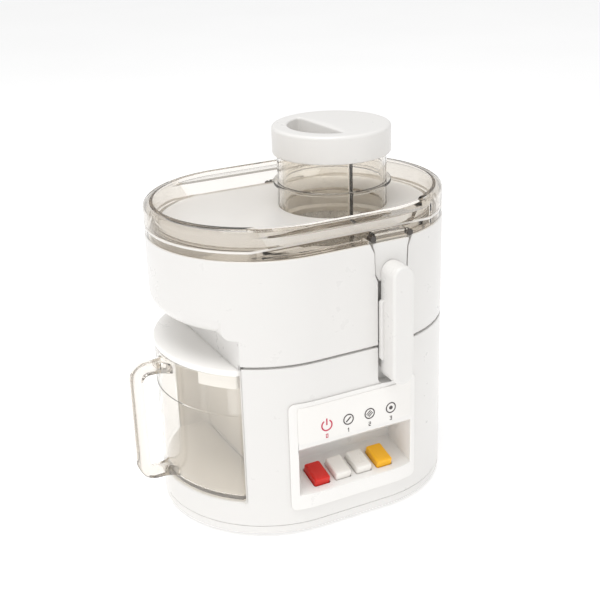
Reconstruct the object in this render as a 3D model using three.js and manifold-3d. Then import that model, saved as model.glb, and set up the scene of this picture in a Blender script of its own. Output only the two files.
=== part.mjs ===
// Centrifugal juicer: an oval motor housing with a jug bay in its left end, a juice and pulp bowl above it,
// a spinning filter basket, a smoked lid with a feed tube and pusher, two swing clamps and a row of four keys.
//
// Millimetres, +Z up, +X to the right seen from the control panel, +Y to the back. The pieces are modelled
// about the middle of the oval outline; the exported group moves that point so that the origin lies under the
// middle of the whole object's box.

import * as THREE from "three";
import { mergeVertices } from "three/addons/utils/BufferGeometryUtils.js";
import Module from "manifold-3d";

const wasm = await Module();
wasm.setup();

// ---------------------------------------------------------------- driving dimensions

const HALF_LENGTH = 125; // of the oval outline
const END_RADIUS = 93; // of its round ends, which is half its width
const STRAIGHT = HALF_LENGTH - END_RADIUS;
const WALL = 2.8; // moulded shells
const GAP = 0.4; // between pieces that meet
const AXIS_X = 35; // motor, basket, feed tube and clamps
const ARC_STEPS = 16; // facets in a half turn of the outline

const FOOT = { radius: 9, height: 2.7, x: 78, y: 52 };
const BASE = { bottom: 3, top: 8 };
const HOUSING = { bottom: BASE.top + 0.3, top: 150, deck: 2.8, spigot: 6 };
const BAY = { floor: 32, edgeX: -88.3, wallX: -59, halfWidth: 72.5, corner: 13 };
const BOWL = { skirt: 152, step: 173.4, overJug: 174.6, belly: 16, floor: 185, top: 237 };
const WELL = { radius: 70, bottom: 158, top: 214, wall: 2.5 };
const CHIMNEY = { radius: 14, wall: 2, top: 176 };
const SPOUT = { left: -84, halfWidth: 14, bottom: 151.5, nozzle: 20, wall: 2 };
const LID = { bottom: BOWL.top + GAP, floor: 244, top: 261.5, plate: 2.5 };
const LEDGE = { y: 80.7, flange: 240.5, lip: 255 }; // the clamps' grooves in the lid's long sides
const TUBE = { radius: 45, wall: 2.5, bottom: 200, top: 303, ringZ: 262.2, ringRadius: 48.6 };
const CAP = { radius: 48.6, bottom: 287.8, top: 310.5, pocketRadius: 35.5, chord: -9.4, turn: 4, pocketFloor: 288 };
const JUG = { bottom: BAY.floor + 1, top: 143.3, rearX: -61, halfWidth: 71.8, wall: 2.4, floor: 3 };
const HANDLE = { outX: -154, inX: -143.5, y: -5, width: 13, low: [36, 48.5], high: [129.5, 141.5] };
const JUG_LID = { top: 148, plate: 4, skirt: 132 };
const PANEL = { x: [-57, 59], z: [24, 118.6], corner: 5, proud: 1.6 };
const LABEL = { x: [-50.5, 53.5], z: [83.5, 115] };
const TROUGH = { x: [-50, 54], wall: 2 };
const KEY = { width: 14, length: 21, height: 6.4, pitch: 19.5, firstX: -27.2, frontY: -88, frontZ: 38.4 };
const SHELF_SLOPE = THREE.MathUtils.degToRad(15.2);
const CLAMP = { x: 35.5, pinY: 97, pinZ: 131.5, foot: 121.5, top: 221, face: 111, back: 92, half: 9.5, wall: 2.3 };
const PLATE = { half: 14.6, bottom: 211, top: 241, out: 91.5, in: 88.5, hookIn: 82.5, hookTop: 244 };
const SHAFT = { radius: 4, bottom: 38, top: 157 };
const STATOR = { outer: 34, inner: 22, bottom: 80, top: 112 };
const BASKET = { bottom: 184.5, bottomRadius: 44, top: 219, topRadius: 60, rimRadius: 74, sheet: 1 };

// ---------------------------------------------------------------- shapes

const { PI } = Math;

function oval(inset = 0) {
  const r = END_RADIUS - inset;
  const s = new THREE.Shape();
  s.moveTo(-STRAIGHT, -r);
  s.lineTo(STRAIGHT, -r);
  s.absarc(STRAIGHT, 0, r, -PI / 2, PI / 2, false);
  s.lineTo(-STRAIGHT, r);
  s.absarc(-STRAIGHT, 0, r, PI / 2, (3 * PI) / 2, false);
  return s;
}

// Oval outlines at the insets and heights of a profile, joined into one solid with flat ends.
function lofted(profile) {
  const rings = profile.map(([inset, z]) =>
    oval(inset)
      .getPoints(ARC_STEPS)
      .slice(0, -1)
      .map((p) => [p.x, p.y, z]),
  );
  const n = rings[0].length;
  const last = rings.length - 1;
  const ends = [0, last].map((i) => [0, 0, profile[i][1]]);
  const index = [];
  for (let j = 0; j < last; j += 1) {
    for (let i = 0; i < n; i += 1) {
      const [a, b] = [j * n + i, j * n + ((i + 1) % n)];
      index.push(a, b, b + n, a, b + n, a + n);
    }
  }
  const [low, high] = [rings.length * n, rings.length * n + 1];
  for (let i = 0; i < n; i += 1) {
    const next = (i + 1) % n;
    index.push(low, next, i, high, last * n + i, last * n + next);
  }
  const g = new THREE.BufferGeometry();
  g.setAttribute("position", new THREE.Float32BufferAttribute([...rings, ends].flat(2), 3));
  g.setIndex(index);
  return solid(g);
}

function circle(radius, x = 0, y = 0) {
  return new THREE.Shape().absarc(x, y, radius, 0, 2 * PI, false);
}

function polygon(points) {
  return new THREE.Shape(points.map(([a, b]) => new THREE.Vector2(a, b)));
}

function rectangle([x0, x1], [y0, y1], r = 0) {
  if (!r) return polygon([[x0, y0], [x1, y0], [x1, y1], [x0, y1]]);
  const s = new THREE.Shape();
  s.absarc(x1 - r, y1 - r, r, 0, PI / 2, false);
  s.absarc(x0 + r, y1 - r, r, PI / 2, PI, false);
  s.absarc(x0 + r, y0 + r, r, PI, 1.5 * PI, false);
  s.absarc(x1 - r, y0 + r, r, 1.5 * PI, 2 * PI, false);
  return s;
}

// ---------------------------------------------------------------- solids

// A closed three.js geometry as a manifold-3d solid, with its faces turned outwards.
function solid(geometry) {
  const g = geometry.clone();
  g.deleteAttribute("normal");
  g.deleteAttribute("uv");
  const merged = mergeVertices(g, 1e-4);
  const index = merged.index.array;
  const build = (flip) => {
    const triangles = [];
    for (let i = 0; i < index.length; i += 3) {
      const [a, b, c] = flip ? [index[i], index[i + 2], index[i + 1]] : [index[i], index[i + 1], index[i + 2]];
      if (a !== b && b !== c && c !== a) triangles.push(a, b, c);
    }
    return new wasm.Manifold(
      new wasm.Mesh({
        numProp: 3,
        vertProperties: new Float32Array(merged.attributes.position.array),
        triVerts: new Uint32Array(triangles),
      }),
    );
  };
  const made = build(false);
  return made.volume() < 0 ? build(true) : made;
}

function extrusion(shape, depth, steps) {
  return new THREE.ExtrudeGeometry(shape, { depth, bevelEnabled: false, curveSegments: steps });
}

// A plan shape raised from z0 to z1.
function prism(shape, z0, z1, steps = ARC_STEPS) {
  return solid(extrusion(shape, z1 - z0, steps).translate(0, 0, z0));
}

// A front view shape, drawn in x and z, from y0 to y1.
function prismY(shape, y0, y1, steps = 4) {
  return solid(extrusion(shape, y1 - y0, steps).rotateX(PI / 2).translate(0, y1, 0));
}

// A side view shape, drawn in y and z, from x0 to x1.
function prismX(shape, x0, x1, steps = 4) {
  const turn = new THREE.Matrix4().makeBasis(
    new THREE.Vector3(0, 1, 0),
    new THREE.Vector3(0, 0, 1),
    new THREE.Vector3(1, 0, 0),
  );
  return solid(extrusion(shape, x1 - x0, steps).applyMatrix4(turn).translate(x0, 0, 0));
}

function box([x0, x1], [y0, y1], [z0, z1]) {
  return prism(rectangle([x0, x1], [y0, y1]), z0, z1);
}

// A profile of [radius, z] points turned about the vertical line through (x, y).
function turned(profile, x = AXIS_X, y = 0, steps = 32) {
  const points = profile.map(([r, z]) => new THREE.Vector2(r, z));
  return solid(new THREE.LatheGeometry(points, steps).rotateX(PI / 2).translate(x, y, 0));
}

// A disc, or a ring with a bore.
function ring(outer, inner, z0, z1, x = AXIS_X, y = 0, steps = 32) {
  if (!inner) return turned([[0, z0], [outer, z0], [outer, z1], [0, z1]], x, y, steps);
  return turned([[inner, z0], [outer, z0], [outer, z1], [inner, z1], [inner, z0]], x, y, steps);
}

function join(first, ...rest) {
  return rest.reduce((sum, s) => sum.add(s), first);
}

function cut(first, ...rest) {
  return rest.reduce((sum, s) => sum.subtract(s), first);
}

function bothSides(piece) {
  return piece.add(piece.mirror([0, 1, 0]));
}

// ---------------------------------------------------------------- materials

const plastic = (color, roughness = 0.35) => new THREE.MeshStandardMaterial({ color, roughness, metalness: 0 });
const metal = (color, roughness = 0.35) => new THREE.MeshStandardMaterial({ color, roughness, metalness: 1 });
const smoked = new THREE.MeshStandardMaterial({
  color: 0x8c8478,
  roughness: 0.06,
  metalness: 0,
  transparent: true,
  opacity: 0.5,
});
const MATERIAL = {
  white: plastic(0xf2f0ec, 0.3),
  label: plastic(0xeeecea, 0.45),
  red: plastic(0xc42820),
  yellow: plastic(0xf0a828),
  ivory: plastic(0xece6de),
  black: plastic(0x2a2a2c, 0.6),
  rubber: plastic(0x3a3a3c, 0.85),
  seal: plastic(0xd9d6d0, 0.7),
  smoked,
  steel: metal(0xc9ccd0, 0.3),
  lamination: metal(0x8a8d92, 0.5),
  copper: metal(0xb5703a, 0.4),
  brass: metal(0xc8a450, 0.4),
};

// ---------------------------------------------------------------- scene

const juicer = new THREE.Group();

function geometryOf(shape) {
  const { vertProperties, triVerts } = shape.getMesh();
  const g = new THREE.BufferGeometry();
  g.setAttribute("position", new THREE.BufferAttribute(new Float32Array(vertProperties), 3));
  g.setIndex(new THREE.BufferAttribute(new Uint32Array(triVerts), 1));
  g.computeVertexNormals();
  return g;
}

function add(name, shape, material, parent = juicer) {
  const mesh = new THREE.Mesh(geometryOf(shape), material);
  mesh.name = name;
  parent.add(mesh);
  return mesh;
}

// ---------------------------------------------------------------- base and feet

const SCREWS = [
  [-98, -38],
  [-98, 38],
  [107.5, -40],
  [107.5, 40],
];

function basePlate() {
  const rim = 2.6;
  const floor = 2.2;
  let plate = cut(
    prism(oval(0.6), BASE.bottom, BASE.top),
    prism(oval(0.6 + rim), BASE.bottom + floor, BASE.top + 1),
  );
  for (let i = -3; i <= 3; i += 1) {
    const x = AXIS_X + i * 9;
    plate = plate.subtract(box([x - 2, x + 2], [-26, 26], [BASE.bottom - 1, BASE.bottom + floor + 1]));
  }
  for (const [x, y] of SCREWS) plate = plate.subtract(ring(2.4, 0, 0, BASE.top + 1, x, y, 12));
  return plate;
}

function buildBase() {
  add("base_plate", basePlate(), MATERIAL.white);
  let number = 1;
  for (const [x, y] of SCREWS) {
    const head = ring(4, 0, BASE.bottom - 2.3, BASE.bottom - 0.3, 0, 0, 12);
    const shank = ring(1.6, 0, BASE.bottom - 0.4, 20, 0, 0, 8);
    add(`base_screw_${number}`, head.add(shank), MATERIAL.steel).position.set(x, y, 0);
    number += 1;
  }
  for (const [side, sx] of [["left", -1], ["right", 1]]) {
    for (const [end, sy] of [["front", -1], ["back", 1]]) {
      const foot = turned([[0, 0], [FOOT.radius - 1, 0], [FOOT.radius, FOOT.height], [0, FOOT.height]], 0, 0, 20);
      add(`foot_${end}_${side}`, foot, MATERIAL.rubber).position.set(sx * FOOT.x, sy * FOOT.y, 0);
    }
  }
}

// ---------------------------------------------------------------- motor housing

// The channels in the bowl's sides that the clamps lie in.
const CHANNEL = { wide: 16.2, narrow: 13, shoulder: 207, depthY: -85.5 };

function clampChannel(grow = 0) {
  const outline = (half, z0, z1, r) => rectangle([CLAMP.x - half - grow, CLAMP.x + half + grow], [z0, z1], r);
  const depth = CHANNEL.depthY + grow;
  return join(
    prismY(outline(CHANNEL.wide, CHANNEL.shoulder - grow, BOWL.top + 30, 4), -END_RADIUS - 5, depth),
    prismY(outline(CHANNEL.narrow, BOWL.skirt - 10, CHANNEL.shoulder + 14, 2), -END_RADIUS - 5, depth),
  );
}

// The jug bay's front view, grown by a wall's thickness where the wall behind it is wanted.
function bayOutline(grow = 0) {
  const opening = new THREE.Shape();
  opening.moveTo(-HALF_LENGTH - 10, BAY.floor - grow);
  opening.lineTo(BAY.edgeX - BAY.corner, BAY.floor - grow);
  opening.absarc(BAY.edgeX - BAY.corner, BAY.floor + BAY.corner, BAY.corner + grow, -PI / 2, 0, false);
  opening.lineTo(BAY.edgeX + grow, HOUSING.top + 20);
  opening.lineTo(-HALF_LENGTH - 10, HOUSING.top + 20);
  return prismY(opening, -100, 100);
}

function bay(grow = 0) {
  const side = BAY.halfWidth + grow;
  const inner = rectangle([-HALF_LENGTH - 30, BAY.wallX + grow], [-side, side], 10);
  return join(bayOutline(grow), prism(inner, BAY.floor - grow, HOUSING.top + 20, 4));
}

// The finger trough's side view: its ceiling slopes in, and its shelf carries the keys.
function troughOutline(grow = 0) {
  const slope = Math.tan(SHELF_SLOPE);
  const front = -104;
  const shelfFront = KEY.frontZ + (front - KEY.frontY) * slope;
  return polygon([
    [front, 86 + grow],
    [-57 + grow, 54.5 + grow],
    [-57 + grow, 47.5 - grow],
    [-61, 45.7 - grow],
    [front, shelfFront - grow],
  ]);
}

function trough(grow = 0) {
  return prismX(troughOutline(grow), TROUGH.x[0] - grow, TROUGH.x[1] + grow);
}

const PIN = { radius: 2, half: 8.6 };

function clampPin(clearance = 0) {
  const r = PIN.radius + clearance;
  const half = PIN.half + clearance;
  const rod = new THREE.CylinderGeometry(r, r, 2 * half, 12).rotateZ(PI / 2);
  return solid(rod.translate(CLAMP.x, -CLAMP.pinY, CLAMP.pinZ));
}

function clampPocket(grow = 0) {
  const half = CHANNEL.narrow + grow;
  const z = [CLAMP.foot - 3.5 - grow, HOUSING.top + 10];
  return box([CLAMP.x - half, CLAMP.x + half], [-END_RADIUS - 3, -84 + grow], z);
}

// The two ears that hold a clamp's pin stand inside the clamp's hollow.
function clampEars() {
  const ear = (x0, x1) => {
    const disc = new THREE.CylinderGeometry(4.6, 4.6, x1 - x0, 16).rotateZ(PI / 2);
    const round = solid(disc.translate((x0 + x1) / 2, -CLAMP.pinY, CLAMP.pinZ));
    return round.add(box([x0, x1], [-CLAMP.pinY, -83], [CLAMP.pinZ - 2.6, CLAMP.pinZ + 4.6]));
  };
  return join(ear(CLAMP.x - 6.4, CLAMP.x - 3), ear(CLAMP.x + 3, CLAMP.x + 6.4));
}

function housingShell() {
  const outer = prism(oval(), HOUSING.bottom, HOUSING.top).subtract(bay());
  const cavity = prism(oval(WALL), HOUSING.bottom - 1, HOUSING.top - HOUSING.deck).subtract(bay(WALL));
  const spigot = cut(
    prism(oval(WALL + 1), HOUSING.top - 1, HOUSING.top + HOUSING.spigot),
    prism(oval(WALL + 3), HOUSING.top - 2, HOUSING.top + HOUSING.spigot + 1),
    box([-HALF_LENGTH, BAY.edgeX + 4], [-100, 100], [HOUSING.top - 2, HOUSING.top + 20]),
    bothSides(clampPocket(2.9)),
  );
  const screwBosses = SCREWS.map(([x, y]) =>
    ring(5, 1.9, HOUSING.bottom, BAY.floor - 1, x, y, 12).intersect(prism(oval(1), 0, HOUSING.top)),
  );
  const pocketWalls = bothSides(clampPocket(2.5).intersect(prism(oval(), HOUSING.bottom, HOUSING.top)));
  return join(cut(outer, cavity), spigot, pocketWalls, ...screwBosses);
}

function backVents() {
  const slots = [];
  for (let i = 0; i < 9; i += 1) {
    const x = AXIS_X - 40 + i * 9;
    slots.push(prismY(rectangle([x - 1.8, x + 1.8], [22, 52], 1.7), 80, 100, 3));
  }
  return slots;
}

const INLET = { x: -36, z: 20, radius: 6 };

function inletHole(radius) {
  return prismY(circle(radius, INLET.x, INLET.z), 80, 100, 8);
}

function buildHousing() {
  const shell = cut(
    join(housingShell().subtract(bothSides(clampPocket())), bothSides(clampEars())),
    ring(22, 0, HOUSING.top - 5, HOUSING.top + 10),
    bothSides(clampPin(0.3)),
    trough(TROUGH.wall + GAP),
    inletHole(INLET.radius),
    ...backVents(),
  );
  add("motor_housing", shell, MATERIAL.white);
  const gland = join(
    prismY(circle(INLET.radius - GAP, INLET.x, INLET.z), 87, END_RADIUS + 1, 8),
    prismY(circle(INLET.radius + 3, INLET.x, INLET.z), END_RADIUS + 0.6, END_RADIUS + 4, 8),
  ).subtract(inletHole(3.4));
  add("cord_inlet_grommet", gland, MATERIAL.rubber);
}

// ---------------------------------------------------------------- control panel and keys

// A patch of skin that follows the housing's front, between two heights above it.
function frontSkin(outline, from, to) {
  const band = cut(prism(oval(-to), 0, 130, 24), prism(oval(-from), -1, 131, 24));
  return band.intersect(prismY(outline, -110, -40, 4));
}

function keySlot(x) {
  const margin = 0.6;
  const slot = new THREE.BoxGeometry(KEY.width + 2 * margin, KEY.length + 2 * margin, 30);
  return solid(
    slot.translate(0, KEY.length / 2, 0).rotateX(SHELF_SLOPE).translate(x, KEY.frontY, KEY.frontZ),
  );
}

function keyX(i) {
  return KEY.firstX + i * KEY.pitch;
}

// A key in its own frame: y runs up the shelf from its front end, z is the shelf's normal.
function key() {
  const half = KEY.width / 2;
  const cap = prismX(
    polygon([
      [0.8, KEY.height],
      [0, KEY.height - 1],
      [0, -9],
      [KEY.length, -9],
      [KEY.length, KEY.height - 1],
      [KEY.length - 0.8, KEY.height],
    ]),
    -half,
    half,
  );
  return cap.add(box([-3, 3], [7, 15], [-13, -8.9]));
}

function buildControls() {
  const plate = frontSkin(rectangle(PANEL.x, PANEL.z, PANEL.corner), GAP, PANEL.proud);
  const tray = trough(TROUGH.wall).intersect(prism(oval(-PANEL.proud), 0, 130, 24));
  const slots = [0, 1, 2, 3].map((i) => keySlot(keyX(i)));
  add("control_panel", cut(plate.add(tray), trough(), ...slots), MATERIAL.white);
  const label = frontSkin(rectangle(LABEL.x, LABEL.z, 2.5), PANEL.proud + 0.3, PANEL.proud + 0.8);
  add("label_plate", label, MATERIAL.label);

  const keys = [
    ["key_off", MATERIAL.red],
    ["key_low_speed", MATERIAL.ivory],
    ["key_high_speed", MATERIAL.ivory],
    ["key_pulse", MATERIAL.yellow],
  ];
  keys.forEach(([name, material], i) => {
    const mesh = add(name, key(), material);
    mesh.rotation.x = SHELF_SLOPE;
    mesh.position.set(keyX(i), KEY.frontY, KEY.frontZ);
  });

  const length = 3 * KEY.pitch + KEY.width + 4;
  const block = box([-length / 2, length / 2], [2, 20], [-30, -18]);
  const terminals = [-1.5, -0.5, 0.5, 1.5].map((i) =>
    box([i * KEY.pitch - 3, i * KEY.pitch + 3], [19.9, 26], [-25, -24]),
  );
  const bank = add("switch_block", join(block, ...terminals), MATERIAL.black);
  bank.rotation.x = SHELF_SLOPE;
  bank.position.set(keyX(1.5), KEY.frontY, KEY.frontZ);
}

// ---------------------------------------------------------------- motor

function armatureCore() {
  const slots = 12;
  const bottom = STATOR.bottom;
  let core = ring(STATOR.inner - 1, SHAFT.radius + 0.3, bottom, STATOR.top, 0, 0, 36);
  for (let i = 0; i < slots; i += 1) {
    const slot = box([STATOR.inner - 6, STATOR.inner + 1], [-1.2, 1.2], [bottom - 1, STATOR.top + 1]);
    core = core.subtract(slot.rotate([0, 0, (i * 360) / slots]));
  }
  return core;
}

function statorCore() {
  const outline = rectangle([-STATOR.outer, STATOR.outer], [-STATOR.outer + 5, STATOR.outer - 5], 9);
  const block = prism(outline, STATOR.bottom, STATOR.top, 4);
  return block.subtract(ring(STATOR.inner, 0, STATOR.bottom - 1, STATOR.top + 1, 0, 0, 36));
}

function fan() {
  const blades = 8;
  let wheel = ring(9, SHAFT.radius + 0.3, 41, 50, 0, 0, 16).add(ring(28, SHAFT.radius + 0.3, 48.4, 50, 0, 0, 24));
  for (let i = 0; i < blades; i += 1) {
    const blade = box([8, 27], [-0.8, 0.8], [41, 49]);
    wheel = wheel.add(blade.rotate([0, 0, (i * 360) / blades]));
  }
  return wheel;
}

function bracket(z0, z1, boss) {
  const plate = prism(rectangle([-42, 42], [-24, 24], 8), z0, z1, 4);
  return cut(
    plate.add(ring(14, 0, z1 - 0.1, z1 + boss, 0, 0, 24)),
    ring(11.4, 0, z1, z1 + boss + 1, 0, 0, 24),
    ring(6, 0, z0 - 1, z1 + 1, 0, 0, 16),
    ...[-1, 1].map((s) => ring(2.4, 0, z0 - 1, z1 + 1, s * 37, 0, 10)),
  );
}

function buildMotor() {
  const motor = new THREE.Group();
  motor.position.x = AXIS_X;
  juicer.add(motor);
  const piece = (name, shape, material) => add(name, shape, material, motor);
  const clear = SHAFT.radius + 0.3;

  piece("stator_core", statorCore(), MATERIAL.lamination);
  piece("field_winding_upper", ring(32, 22.5, STATOR.top + 0.3, STATOR.top + 9, 0, 0, 24), MATERIAL.copper);
  piece("field_winding_lower", ring(32, 22.5, STATOR.bottom - 9, STATOR.bottom - 0.3, 0, 0, 24), MATERIAL.copper);

  piece("motor_shaft", ring(SHAFT.radius, 0, SHAFT.bottom, SHAFT.top, 0, 0, 16), MATERIAL.steel);
  piece("armature_core", armatureCore(), MATERIAL.lamination);
  const coil = [[clear, 0], [17, 0], [18, 2], [16, 6], [clear, 7], [clear, 0]];
  const above = coil.map(([r, z]) => [r, STATOR.top + 0.3 + z]);
  const below = coil.map(([r, z]) => [r, STATOR.bottom - 0.3 - z]);
  piece("armature_winding_upper", turned(above, 0, 0, 24), MATERIAL.copper);
  piece("armature_winding_lower", turned(below, 0, 0, 24), MATERIAL.copper);
  piece("commutator", ring(11, clear, 58, 71, 0, 0, 24), MATERIAL.brass);
  piece("cooling_fan", fan(), MATERIAL.black);

  for (const [side, s] of [["left", -1], ["right", 1]]) {
    const holder = cut(
      box([13.5, 30], [-5, 5], [58.5, 70]),
      box([12, 31], [-3.2, 3.2], [60.4, 68]),
    );
    const brush = box([11.4, 24], [-2.9, 2.9], [60.7, 67.7]);
    const turn = s < 0 ? 180 : 0;
    piece(`brush_holder_${side}`, holder.rotate([0, 0, turn]), MATERIAL.brass);
    piece(`carbon_brush_${side}`, brush.rotate([0, 0, turn]), MATERIAL.black);
    const bolt = join(ring(1.9, 0, 49, 134, s * 37, 0, 8), ring(4, 0, 134, 137, s * 37, 0, 8));
    piece(`motor_bolt_${side}`, bolt, MATERIAL.steel);
  }
  piece("upper_bracket", bracket(128, 131, 8), MATERIAL.lamination);
  piece("lower_bracket", bracket(52, 54.5, 0.1).subtract(ring(6.2, 0, 40, 60, 0, 0, 16)), MATERIAL.lamination);
  piece("upper_bearing", ring(11, clear, 131.3, 138.3, 0, 0, 24), MATERIAL.steel);
  piece("lower_bearing", ring(5.7, clear, 51.5, 56.5, 0, 0, 16), MATERIAL.brass);
  piece("deck_seal", ring(21.6, 13, 147.6, 149.6, 0, 0, 24), MATERIAL.rubber);

  const star = new THREE.Shape();
  const teeth = 6;
  for (let i = 0; i < 2 * teeth; i += 1) {
    const a = (i * PI) / teeth;
    const r = i % 2 ? 6.6 : 8.6;
    if (i) star.lineTo(r * Math.cos(a), r * Math.sin(a));
    else star.moveTo(r, 0);
  }
  const coupling = join(prism(star, 157, 174), ring(10.5, 0, 152, 157.1, 0, 0, 24));
  piece("drive_coupling", coupling.subtract(ring(clear, 0, 150, SHAFT.top + 0.3, 0, 0, 16)), MATERIAL.black);
}

// ---------------------------------------------------------------- bowl

// What the rounded lower edge over the jug leaves out.
function beyondBelly() {
  const { belly, overJug, skirt } = BOWL;
  const curve = [0, 1, 2, 3, 4, 5].map((i) => {
    const a = (i * PI) / 10;
    return [belly * (1 - Math.sin(a)), overJug + belly * (1 - Math.cos(a))];
  });
  const rounded = lofted([...curve, [0, overJug + belly + 10]]);
  return box([-HALF_LENGTH - 5, -98.5], [-100, 100], [skirt - 1, overJug + belly]).subtract(rounded);
}

function bowlShell() {
  const overJug = rectangle([-HALF_LENGTH - 5, BAY.edgeX], [BOWL.skirt - 1, BOWL.step]);
  const outline = prism(oval(), BOWL.skirt, BOWL.top);
  const behindChannels = bothSides(clampChannel(2.5)).intersect(outline);
  const underside = prism(oval(WALL), BOWL.skirt - 1, BOWL.floor - WALL).intersect(
    box([BAY.edgeX + WALL, HALF_LENGTH], [-100, 100], [0, 300]),
  );
  const shell = cut(
    outline,
    prismY(overJug, -100, 100),
    beyondBelly(),
    prism(oval(WALL), BOWL.floor, BOWL.top + 1),
    underside,
  );
  return join(shell, behindChannels).subtract(bothSides(clampChannel()));
}

function spoutSolid(inset, floorRise) {
  const { left, halfWidth, bottom, nozzle } = SPOUT;
  const y = [-halfWidth + inset, halfWidth - inset];
  const right = AXIS_X - WELL.radius + 6;
  return join(
    box([left + inset, right], y, [WELL.bottom + floorRise, BOWL.floor - (inset ? WALL : 1)]),
    box([left + inset, left + nozzle - inset], y, [bottom - floorRise, WELL.bottom + floorRise + 1]),
  );
}

function buildBowl() {
  const wellOuter = ring(WELL.radius + WELL.wall, 0, WELL.bottom, WELL.top, AXIS_X, 0, 48);
  const wellInner = ring(WELL.radius, 0, WELL.bottom + WELL.wall, WELL.top + 1, AXIS_X, 0, 48);
  const chimney = ring(CHIMNEY.radius + CHIMNEY.wall, 0, WELL.bottom, CHIMNEY.top, AXIS_X, 0, 24);
  const bore = ring(CHIMNEY.radius, 0, WELL.bottom - 1, CHIMNEY.top + 1, AXIS_X, 0, 24);
  const bowl = cut(
    join(cut(join(bowlShell(), wellOuter, spoutSolid(0, 0)), wellInner, spoutSolid(SPOUT.wall, WELL.wall)), chimney),
    bore,
  );
  add("juice_bowl", bowl, MATERIAL.white);
  const seal = cut(
    prism(oval(WALL + GAP), BOWL.top - 6, BOWL.top - 1),
    prism(oval(WALL + GAP + 1.2), BOWL.top - 7, BOWL.top),
  );
  const clear = bothSides(clampChannel(2.9));
  add("lid_gasket", largest(seal.subtract(clear)), MATERIAL.seal);
}

// The biggest separate body of a solid.
function largest(shape) {
  return shape.decompose().reduce((a, b) => (a.volume() > b.volume() ? a : b));
}

// ---------------------------------------------------------------- filter basket

function buildBasket() {
  const { bottom, bottomRadius, top, topRadius, rimRadius, sheet } = BASKET;
  const hub = join(
    ring(bottomRadius - 1, 0, bottom - 4, bottom - 0.6),
    ring(19.5, 17.2, 166, bottom - 3.9),
    ring(12.5, 0, 160.5, bottom - 3.9),
  );
  const socket = ring(9.4, 0, 159, 175.5, AXIS_X, 0, 24);
  add("basket_hub", hub.subtract(socket), MATERIAL.white);
  add("grater_disc", ring(bottomRadius - 2, 0, bottom - 0.3, bottom + 1), MATERIAL.steel);
  const cone = [
    [bottomRadius - sheet, bottom - 0.2],
    [bottomRadius, bottom - 0.2],
    [topRadius, top - 0.4],
    [topRadius - sheet, top - 0.4],
    [bottomRadius - sheet, bottom - 0.2],
  ];
  add("filter_mesh", turned(cone, AXIS_X, 0, 40), MATERIAL.steel);
  const rim = [
    [topRadius - 2, top],
    [rimRadius - 1, top],
    [rimRadius, top + 2],
    [topRadius + 2, top + 4],
    [topRadius - 2, top + 4],
    [topRadius - 2, top],
  ];
  add("basket_rim", turned(rim, AXIS_X, 0, 40), MATERIAL.white);
}

// ---------------------------------------------------------------- lid, feed tube and pusher

// The part of the lid outside the flat walls behind the clamps' grooves.
function beyondLedge(grow, z0, z1) {
  return bothSides(box([-HALF_LENGTH, HALF_LENGTH], [-END_RADIUS - 5, -LEDGE.y + grow], [z0, z1]));
}

function buildLid() {
  const { bottom, floor, top, plate } = LID;
  const edge = 0.3;
  const inside = (z0, z1) => prism(oval(edge + plate), z0, z1);
  const behind = (z0, z1) => inside(z0, z1).subtract(beyondLedge(plate, z0 - 1, z1 + 1));
  const tray = join(behind(floor, top + 1), inside(LEDGE.lip + plate, top + 1));
  const under = behind(bottom - 1, floor - plate);
  const lip = cut(
    prism(oval(WALL + 2.2), bottom - 5, floor - 1),
    prism(oval(WALL + 4.4), bottom - 6, floor - plate),
    bothSides(clampChannel(2.9)),
  );
  const tube = join(
    ring(TUBE.radius, 0, TUBE.bottom, TUBE.top, AXIS_X, 0, 40),
    ring(TUBE.ringRadius, 0, TUBE.ringZ, TUBE.ringZ + 2.4, AXIS_X, 0, 40),
  );
  const bore = ring(TUBE.radius - TUBE.wall, 0, TUBE.bottom - 1, TUBE.top + 1, AXIS_X, 0, 40);
  const grooves = beyondLedge(0, LEDGE.flange, LEDGE.lip);
  const notches = bothSides(clampChannel(0.5)).subtract(prism(oval(-20), LEDGE.lip - 1, top + 20));
  const shell = cut(prism(oval(edge), bottom, top), tray, under, grooves, notches);
  add("feed_lid", join(shell, lip.subtract(grooves), tube).subtract(bore), MATERIAL.smoked);
}

function pocket(inset, z0, z1) {
  const half = box([AXIS_X - 60, AXIS_X + CAP.chord - inset], [-60, 60], [z0 - 1, z1 + 1]);
  return turnedAboutTube(ring(CAP.pocketRadius - inset, 0, z0, z1, AXIS_X, 0, 40).intersect(half));
}

// The pusher is shown turned a little in its tube.
function turnedAboutTube(shape) {
  return shape.translate([-AXIS_X, 0, 0]).rotate([0, 0, CAP.turn]).translate([AXIS_X, 0, 0]);
}

function buildPusher() {
  const ceiling = TUBE.top + GAP;
  const skirt = ring(CAP.radius, 0, CAP.bottom, CAP.top, AXIS_X, 0, 48).subtract(
    ring(TUBE.radius + 0.6, 0, CAP.bottom - 1, ceiling, AXIS_X, 0, 40),
  );
  const cup = pocket(-1.2, CAP.pocketFloor - 2, CAP.top - 1);
  const cap = skirt.add(cup).subtract(pocket(0, CAP.pocketFloor, CAP.top + 1));
  add("pusher_cap", cap, MATERIAL.white);

  const radius = TUBE.radius - TUBE.wall - 1;
  const wall = 2;
  const bottom = TUBE.bottom + 3;
  const chord = AXIS_X + CAP.chord + 1.2 + GAP;
  const leftOf = (x) => box([AXIS_X - 60, x], [-60, 60], [bottom - 1, ceiling + 2]);
  const shell = cut(
    ring(radius, 0, bottom, ceiling - GAP, AXIS_X, 0, 40).intersect(leftOf(chord + wall)),
    ring(radius - wall, 0, bottom + wall, ceiling + 1, AXIS_X, 0, 40).intersect(leftOf(chord)),
  );
  add("pusher_body", turnedAboutTube(shell), MATERIAL.smoked);
}

// ---------------------------------------------------------------- clamps

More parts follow.
